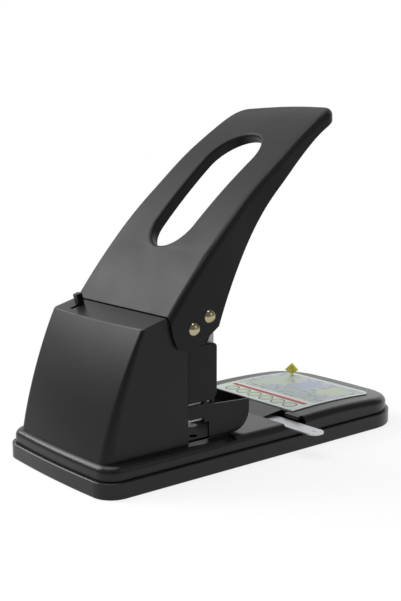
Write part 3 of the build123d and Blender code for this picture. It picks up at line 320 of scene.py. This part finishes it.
def sintered_bronze(name):
    """Oil-filled bronze with pores."""
    material, tree, place = new_material(name)
    pores = add(tree, "ShaderNodeTexVoronoi", {"Vector": place, "Scale": 1 / PORE})
    tone = add(tree, "ShaderNodeValToRGB", {"Fac": pores.outputs["Distance"]})
    tone.color_ramp.elements[0].color = colour("6b4a22")
    tone.color_ramp.elements[1].color = colour("b08648")
    bump = add(tree, "ShaderNodeBump", {"Height": pores.outputs["Distance"], "Strength": 0.25,
                                        "Distance": 0.05 * MM})
    shader = add(tree, "ShaderNodeBsdfPrincipled", {
        "Base Color": tone.outputs["Color"], "Metallic": 1.0, "Roughness": 0.42,
        "Normal": bump.outputs["Normal"]})
    finish_with(tree, shader)
    return material


bronze = sintered_bronze("sintered_bronze")
print("made", bronze.name)

# %% [markdown]
# ## Printed card
#
# A laminated card lies on the platform. What is printed on it is a plain pattern of our own: a
# pale ground, a red rule across it, a row of rings behind the rule, and in front of it soft
# grey-blue and grey-green tints with a few thin lines. All of it is worked out from the card's
# own place, in millimetres, so it stays on the card from every side. A band is 1 between two
# lines and 0 outside, which two comparisons give. Bands multiplied together make a patch, and
# each patch is laid over what is already printed, as inks are.

# %% Printed and laminated card
card_low, card_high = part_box("label_plate")
RULE_FROM_REAR = 21.0 * MM
RULE_WIDTH = 4.2 * MM
RING_OUTER = 5.8 * MM
RING_LINE = 1.0 * MM
RING_STEP = 13.0 * MM
RING_FROM_RULE = 11.5 * MM
RINGS = 6
CARD_EDGE = 2.5 * MM
CARD_MARGIN = 8.0 * MM
PATCH_STEP, PATCH_WIDTH, PATCH_FROM_FRONT = 28.0 * MM, 19.0 * MM, 14.0 * MM
LINES, LINE_WIDTH = 4, 1.5 * MM


def band(tree, value, start, end):
    """1 where the value lies between start and end, else 0."""
    above = add(tree, "ShaderNodeMath", {0: value, 1: start}, operation="GREATER_THAN")
    below = add(tree, "ShaderNodeMath", {0: value, 1: end}, operation="LESS_THAN")
    both = add(tree, "ShaderNodeMath", {0: above.outputs[0], 1: below.outputs[0]}, operation="MULTIPLY")
    return both.outputs[0]


def printed_card(name):
    """A pale card with a red rule, soft tinted fields and a row of rings."""
    material, tree, place = new_material(name)
    flat = add(tree, "ShaderNodeVectorMath", {0: place, 1: (1, 1, 0)}, operation="MULTIPLY").outputs[0]
    axes = add(tree, "ShaderNodeSeparateXYZ", {"Vector": flat})
    x, y = axes.outputs["X"], axes.outputs["Y"]
    left, front = float(card_low[0]), float(card_low[1])
    right, rear = float(card_high[0]), float(card_high[1])
    rule_y = rear - RULE_FROM_REAR
    fine = add(tree, "ShaderNodeTexNoise", {"Vector": flat, "Scale": 1 / (6 * MM), "Detail": 3.0})
    wide = add(tree, "ShaderNodeTexNoise", {"Vector": flat, "Scale": 1 / (24 * MM), "Detail": 1.0})
    ground = add(tree, "ShaderNodeValToRGB", {"Fac": wide.outputs["Fac"]})
    ground.color_ramp.elements[0].position = 0.40
    ground.color_ramp.elements[0].color = colour("a0a4b0")
    ground.color_ramp.elements[1].position = 0.60
    ground.color_ramp.elements[1].color = colour("a5ada1")
    whole_width = band(tree, x, left + CARD_EDGE, right - CARD_EDGE)
    field = (whole_width, band(tree, y, front + 2 * CARD_EDGE, rule_y - RULE_WIDTH))

    layers = [(field, ground.outputs["Color"])]
    layers.append(((band(tree, fine.outputs["Fac"], 0.56, 0.74), *field), colour("858e9c")))
    for i, shade in enumerate(("a6b19b", "939cac", "a0ab9b")):
        start = left + CARD_MARGIN + PATCH_STEP * i
        depth = band(tree, y, front + PATCH_FROM_FRONT, front + (38 + 7 * i) * MM)
        layers.append(((band(tree, x, start, start + PATCH_WIDTH), depth), colour(shade)))
    for i in range(LINES):
        start = rule_y - (9.5 + 4.6 * i) * MM
        line = band(tree, y, start, start + LINE_WIDTH)
        reach = band(tree, x, left + CARD_MARGIN, right - (14 + 6 * i) * MM)
        layers.append(((line, reach), colour("7c8f80")))
    rule = band(tree, y, rule_y, rule_y + RULE_WIDTH)
    layers.append(((rule, band(tree, x, left + 2 * CARD_EDGE, right - 2 * CARD_EDGE)), colour("961410")))
    for i in range(RINGS):
        middle = (left + RING_STEP * (i + 1), rule_y + RING_FROM_RULE, 0.0)
        away = add(tree, "ShaderNodeVectorMath", {0: flat, 1: middle}, operation="DISTANCE")
        away = away.outputs["Value"]
        layers.append(((band(tree, away, -MM, RING_OUTER),), colour("a8b5a0")))
        layers.append(((band(tree, away, RING_OUTER - RING_LINE, RING_OUTER),), colour("2f3a36")))

    paper = colour("b9c0b9")
    for masks, shade in layers:
        mask = masks[0]
        for other in masks[1:]:
            mask = add(tree, "ShaderNodeMath", {0: mask, 1: other}, operation="MULTIPLY").outputs[0]
        mix = add(tree, "ShaderNodeMix", {0: mask, 6: paper, 7: shade}, data_type="RGBA")
        paper = mix.outputs[2]
    shader = add(tree, "ShaderNodeBsdfPrincipled", {
        "Base Color": paper, "Roughness": 0.36, "IOR": 1.5, "Specular IOR Level": 0.22})
    finish_with(tree, shader)
    return material


card = printed_card("printed_laminated_card")
card_size = [round((card_high[axis] - card_low[axis]) / MM) for axis in (0, 1)]
print("card", card_size[0], "by", card_size[1], "mm")

# %% [markdown]
# ## Yellow film
#
# The little tab is folded from dyed polyester film. It lets light through, so its thin walls
# glow a little where they are lit from behind. A small share of subsurface scattering gives that.

# %% Dyed polyester film
def dyed_film(name):
    """Folded, lightly creased polyester film."""
    material, tree, place = new_material(name)
    crease = add(tree, "ShaderNodeTexNoise", {"Vector": place, "Scale": 1 / (2.2 * MM), "Detail": 2.0})
    tone = add(tree, "ShaderNodeValToRGB", {"Fac": crease.outputs["Fac"]})
    tone.color_ramp.elements[0].position = 0.35
    tone.color_ramp.elements[0].color = colour("b9ae12")
    tone.color_ramp.elements[1].position = 0.65
    tone.color_ramp.elements[1].color = colour("e2dc3c")
    shader = add(tree, "ShaderNodeBsdfPrincipled", {
        "Base Color": tone.outputs["Color"], "Roughness": 0.25, "IOR": 1.6, "Subsurface Weight": 0.15})
    finish_with(tree, shader)
    return material


film = dyed_film("dyed_film_yellow")
print("made", film.name)

# %% [markdown]
# ## Zinc-plated screws
#
# The screws hold the machine together from inside. They are bright zinc with a bluish cast and a
# fine crystal texture.

# %% Bright zinc
def bright_zinc(name):
    """Blue-passivated zinc on a small screw."""
    material, tree, place = new_material(name)
    crystal = add(tree, "ShaderNodeTexVoronoi", {"Vector": place, "Scale": 1 / (0.5 * MM)})
    tone = add(tree, "ShaderNodeValToRGB", {"Fac": crystal.outputs["Distance"]})
    tone.color_ramp.elements[0].color = colour("9aa0a8")
    tone.color_ramp.elements[1].color = colour("c3c8ce")
    shader = add(tree, "ShaderNodeBsdfPrincipled", {
        "Base Color": tone.outputs["Color"], "Metallic": 1.0, "Roughness": 0.34})
    finish_with(tree, shader)
    return material


zinc = bright_zinc("bright_zinc")
print("made", zinc.name)

# %% [markdown]
# ## Which piece gets which finish
#
# The frame's objects carry plain stand-in materials. Each is swapped for the finish of its real
# piece. A list by finish reads like a parts list, and a name that the frame doesn't have stops the
# script. The lever and the return springs are in it too, though pieces of their own stand for
# them further down.

# %% Dress the frame
finishes = [
    (enamel, ["handle", "cheek_left", "cheek_right"]),
    (base_abs, ["base_shell", "bottom_tray"]),
    (cover_abs, ["rear_cover", "lock_slider"]),
    (guard_abs, ["paper_guard"]),
    (gauge_steel, ["ruler"]),
    (plate_steel, ["side_plate_left", "side_plate_right", "guard_studs", "rear_tie_rods", "lock_plate",
                   "punch_carrier", "carrier_cap"]),
    # the near-black steel goes on the parts deep in the throat and under the head
    (dark_steel, ["chassis_plate", "die_plate", "die_bushes", "paper_stop", "guide_block"]),
    (jaw_steel, ["drive_rollers", "spring_washers"]),
    (punch_steel, ["punch_left", "punch_right"]),
    (spring_steel, ["return_spring_left", "return_spring_right", "ruler_spring"]),
    (nickel, ["pivot_pin", "drive_pin"]),
    (bronze, ["guide_bushes", "pivot_bushes"]),
    (card, ["label_plate"]),
    (film, ["label_tab"]),
    (zinc, ["chassis_screws", "cover_screws", "foot_screws", "die_screws", "stop_screws",
            "guide_screws", "cheek_screws", "cap_screws"]),
]
dressed = set()
for finish, names in finishes:
    for name in names:
        piece = nodes[name]
        piece.data.materials.clear()
        piece.data.materials.append(finish)
        dressed.add(name)
print("dressed", len(dressed), "of", len(nodes), "pieces; left:", sorted(set(nodes) - dressed))

# %% [markdown]
# ## The hand lever
#
# The lever is one pressing: an arched back, two flanges, and a hand hole whose rim is rolled
# under. The CAD lever has all of these. Laid over the photograph, the real one proved to be a few
# millimetres wider toward its tip, with a bowed tip and a hand hole that sits nearer the hub. It
# could be built again from curves, but a copy keeps the sheet, the rim and the hub as the joints
# need them. So a copy of the mesh takes the CAD lever's place, and its points are moved by smooth
# amounts along the curved back.
#
# Every amount is in millimetres. Most fade out before the hub, but the flange's last change ends
# only just past the pivot. It shifts the rim of the drive pin's hole by about a millimetre and
# the pivot's by a quarter, so there the sheet cuts into its own pins, under the heads that cover
# it. The tip goes forward but not up, so the machine stays as high as its CAD model.

# %% How much the lever changes, and where
LEVER_WIDEN = 3.9           # each side, at the tip
LEVER_LONGER = 2.7          # at the tip
TIP_BOW = 3.3               # and this much more at the middle of the tip
HOLE_BACK_TIP = 6.1         # the hole's far end moves toward the hub
HOLE_BACK_HUB = 11.1        # and so does its near end
HOLE_NARROW = 0.03
FLANGE_DEEPER = 0.75        # near the tip
FLANGE_SHALLOWER = 1.15     # before the hub
BACK_ANGLE_AT_TIP = math.radians(30.5)
BACK_TURN = math.radians(0.152)     # for each millimetre along Y
BACK_TIP = (-60.0, 242.0)           # where the back starts to turn over: Y and Z
LEVER_ZONE = (15, 50)               # a zone is where a change starts, and how far it takes
BOW_ZONE = (52, 8)
LEVEL_ZONE = (45, 20)               # the tip stops rising
WIDER_ZONE = (-18.9, 40)
WIDER_ACROSS = (28, 14)
BOW_HALF = 50.0
HOLE_HALF, HOLE_REACH = 34.0, 55.0  # the hole's rim lies inside these
HOLE_EDGE = (36, 6)
HOLE_TIP_Y, HOLE_LENGTH = -45.0, 93.0
DEEPER_ZONE = (0, 40)
SHALLOW_ZONES = ((-20, 25), (-70, 25))
FLANGE_ZONE = (4, 10)
FLANGE_FROM = 30.0
print("the lever gets up to", 2 * LEVER_WIDEN, "mm wider")

# %% [markdown]
# A smooth step is the whole trick. It is 0 up to a line, 1 beyond a second line, and has no corner
# in between, so a sheet moved by it gets no crease. Multiplying two steps gives a change that
# starts and also ends.
#
# The back of the lever bends at an even rate, so its angle at any place follows from the distance
# along Y, and its height from the integral of that angle's tangent, which is a logarithm.

# %% Where one point of the lever goes
def smooth(value, start, length):
    """0 before the start, 1 after the length, and a smooth step between."""
    t = min(max((value - start) / length, 0.0), 1.0)
    return t * t * (3 - 2 * t)


def reshape(point):
    """Where a point of the CAD lever goes, in millimetres."""
    x, y, z = point
    angle = BACK_ANGLE_AT_TIP + (y - BACK_TIP[0]) * BACK_TURN
    back = BACK_TIP[1] + (math.log(math.cos(angle)) - math.log(math.cos(BACK_ANGLE_AT_TIP))) / BACK_TURN
    depth = (back - z) * math.cos(angle)
    out = LEVER_LONGER * smooth(-y, *LEVER_ZONE)
    out += TIP_BOW * (1 - (x / BOW_HALF) ** 2) * smooth(-y, *BOW_ZONE)
    rise = out * (1 - smooth(-y, *LEVEL_ZONE))
    slide = 0.0
    wider = LEVER_WIDEN * smooth(-y, *WIDER_ZONE) * smooth(abs(x), *WIDER_ACROSS)
    if abs(x) < HOLE_HALF and abs(y) < HOLE_REACH:
        share = min(max((y - HOLE_TIP_Y) / HOLE_LENGTH, 0.0), 1.0)
        back_by = HOLE_BACK_TIP * (1 - share) + HOLE_BACK_HUB * share
        slide = back_by * smooth(HOLE_EDGE[0] - abs(x), 0, HOLE_EDGE[1])
        x *= 1 - HOLE_NARROW
    toward_tip, toward_hub = SHALLOW_ZONES
    deeper = FLANGE_DEEPER * smooth(-y, *DEEPER_ZONE)
    deeper -= FLANGE_SHALLOWER * smooth(y, *toward_tip) * smooth(-y, *toward_hub)
    deeper *= smooth(depth, *FLANGE_ZONE) if abs(x) > FLANGE_FROM else 0.0
    x += math.copysign(wider, x)
    y += math.cos(angle) * (slide - out) - math.sin(angle) * deeper
    z += math.sin(angle) * (rise - slide) - math.cos(angle) * deeper
    return x, y, z


tip_middle = (0.0, -70.0, 240.0)
print("the tip's middle moves", round(tip_middle[1] - reshape(tip_middle)[1], 1), "mm forward")

# %% Reshape a copy of the lever
lever_mesh = nodes["handle"].data.copy()
for vertex in lever_mesh.vertices:
    vertex.co = [v * MM for v in reshape([c / MM for c in vertex.co])]
lever_mesh.materials.clear()
lever_mesh.materials.append(enamel)
hand_lever = bpy.data.objects.new("hand_lever", lever_mesh)
scene.collection.objects.link(hand_lever)
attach(hand_lever, "lever")
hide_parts("handle")
print("lever now reaches", round(min(v.co.y for v in lever_mesh.vertices) / MM, 1), "mm in front")

# %% [markdown]
# ## The return springs
#
# Two steel compression springs lift the punches and the lever. A spring doesn't slide along with
# the carrier that presses on it: its lower end stays on its washer, and the whole coil gets
# shorter. Here each coil is a copy of the CAD spring, held to the frame. Pressed, the real coil
# still has room: its turns stacked up are 12 mm, and 18 mm are left.

for side in ("left", "right"):
    cad_name = "return_spring_" + side
    coil_mesh = nodes[cad_name].data.copy()
    coil_mesh.materials.clear()
    coil_mesh.materials.append(spring_steel)
    coil = bpy.data.objects.new("coil_" + side, coil_mesh)
    scene.collection.objects.link(coil)
    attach(coil, "frame")
    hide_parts(cad_name)
    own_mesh(coil)

# %% [markdown]
# ## Floor and backdrop
#
# The machine was shot in a white tent: a white table that runs up into a white wall. The floor
# here is one large sheet that curves up behind, so no horizon shows. It has to look white
# without pouring light on the machine. Light Path tells the shader what kind of ray asks: a ray
# from the camera, or one mirrored in the machine's gloss or passed through its film, gets plain
# white. Round the machine the mix lets a share of the real, shaded paper through, so the machine
# still stands on something. Farther out that share fades to nothing.

# %% A sweep of white paper
FLOOR_SHADE = 0.20
SHADE_FULL_TO = 0.22
SHADE_GONE_AT = 0.50
BEND_STEPS = 12


def white_paper(name, shade):
    """Paper that looks white to the camera and keeps a share of the real shadow."""
    material, tree, place = new_material(name)
    rays = add(tree, "ShaderNodeLightPath")
    seen = add(tree, "ShaderNodeMath", {0: rays.outputs["Is Camera Ray"], 1: rays.outputs["Is Glossy Ray"]},
               operation="MAXIMUM")
    seen = add(tree, "ShaderNodeMath", {0: seen.outputs[0], 1: rays.outputs["Is Transmission Ray"]},
               operation="MAXIMUM")
    away = add(tree, "ShaderNodeVectorMath", {0: place}, operation="LENGTH")
    near = add(tree, "ShaderNodeMapRange", {
        "Value": away.outputs["Value"], "From Min": SHADE_FULL_TO, "From Max": SHADE_GONE_AT,
        "To Min": 1.0 - shade, "To Max": 1.0})
    paper = add(tree, "ShaderNodeBsdfDiffuse", {"Color": colour("f4f4f4")})
    white = add(tree, "ShaderNodeEmission", {"Color": colour("ffffff"), "Strength": 1.0})
    shown = add(tree, "ShaderNodeMixShader", {
        "Fac": near.outputs["Result"], 1: paper.outputs[0], 2: white.outputs[0]})
    sheet = add(tree, "ShaderNodeMixShader", {
        "Fac": seen.outputs[0], 1: paper.outputs[0], 2: shown.outputs[0]})
    finish_with(tree, sheet)
    return material


def sweep(name, width, depth_front, depth_back, height, bend):
    """A sheet on the floor that curves up into a wall on its far side, along the camera's view."""
    profile = [(-depth_front, 0.0), (depth_back - bend, 0.0)]
    for i in range(1, BEND_STEPS + 1):
        turn = math.pi / 2 * i / BEND_STEPS
        profile.append((depth_back - bend + bend * math.sin(turn), bend - bend * math.cos(turn)))
    profile.append((depth_back, height))
    vertices = []
    for s, z in profile:
        vertices += [(s, -width / 2, z), (s, width / 2, z)]
    faces = [(2 * i, 2 * i + 1, 2 * i + 3, 2 * i + 2) for i in range(len(profile) - 1)]
    mesh = bpy.data.meshes.new(name)
    mesh.from_pydata(vertices, [], faces)
    mesh.shade_smooth()
    sheet = bpy.data.objects.new(name, mesh)
    scene.collection.objects.link(sheet)
    return sheet


camera_azimuth = math.radians(230.48)
camera_elevation = math.radians(9.74)
backdrop = sweep("paper_sweep", width=8.0, depth_front=3.0, depth_back=3.0, height=3.5, bend=1.2)
backdrop.rotation_euler = (0, 0, camera_azimuth - 1.5 * math.pi)
backdrop.data.materials.append(white_paper("white_paper", FLOOR_SHADE))
print("sweep heading", round(math.degrees(backdrop.rotation_euler[2]), 1))

# %% [markdown]
# ## Light
#
# Four things light the machine: a big soft box high on the far left, which shines on the lever's
# back and on the top of the cover; a wider one overhead; a weak one on the near right, so the
# side is not lost; and the white tent itself, which is the world. Lamps are turned to face the
# machine with a track quaternion, which needs no constraint.

# %% Lamps and the tent
from mathutils import Vector

aim = Vector((0.0, 0.03, 0.10))


def soft_box(name, place, size, watts):
    """A square area lamp that faces the machine."""
    lamp = bpy.data.lights.new(name, "AREA")
    lamp.shape = "SQUARE"
    lamp.size = size
    lamp.energy = watts
    holder = bpy.data.objects.new(name, lamp)
    holder.location = place
    holder.rotation_euler = (aim - Vector(place)).to_track_quat("-Z", "Y").to_euler()
    scene.collection.objects.link(holder)
    return holder


soft_box("key_box", (1.15, 0.75, 1.05), 1.0, 23)
soft_box("top_box", (0.1, 0.2, 1.5), 1.2, 16)
soft_box("fill_box", (-1.5, -0.7, 0.9), 1.0, 2)
world = bpy.data.worlds.new("tent")
scene.world = world
world.use_nodes = True
tent = world.node_tree
tent.nodes.clear()
glow = add(tent, "ShaderNodeBackground", {"Color": colour("f2f4f7"), "Strength": 0.28})
add(tent, "ShaderNodeOutputWorld", {"Surface": glow.outputs[0]})

# %% [markdown]
# ## Camera
#
# The photograph was taken from behind and to the left, a little above the table, from about
# three quarters of a metre. Its distance, heading and focal length were worked out from the
# base's corners. A camera at zero rotation looks down, so it is first tipped up by ninety
# degrees less the elevation, and then turned by its heading.

# %% The photograph's camera
camera_place = (-561.2 * MM, 478.2 * MM, 230.5 * MM)
focal_pixels = 1015.0
frame_height_pixels = 601
lens = bpy.data.cameras.new("photo_camera")
lens.sensor_fit = "VERTICAL"
lens.sensor_height = 36.0
lens.lens = focal_pixels / frame_height_pixels * lens.sensor_height
lens.clip_start = 0.01
camera = bpy.data.objects.new("photo_camera", lens)
camera.location = camera_place
camera.rotation_euler = (math.pi / 2 - camera_elevation, 0, camera_azimuth)
scene.collection.objects.link(camera)
scene.camera = camera
print(f"lens {lens.lens:.1f} mm")

# %% The end
print("the end")
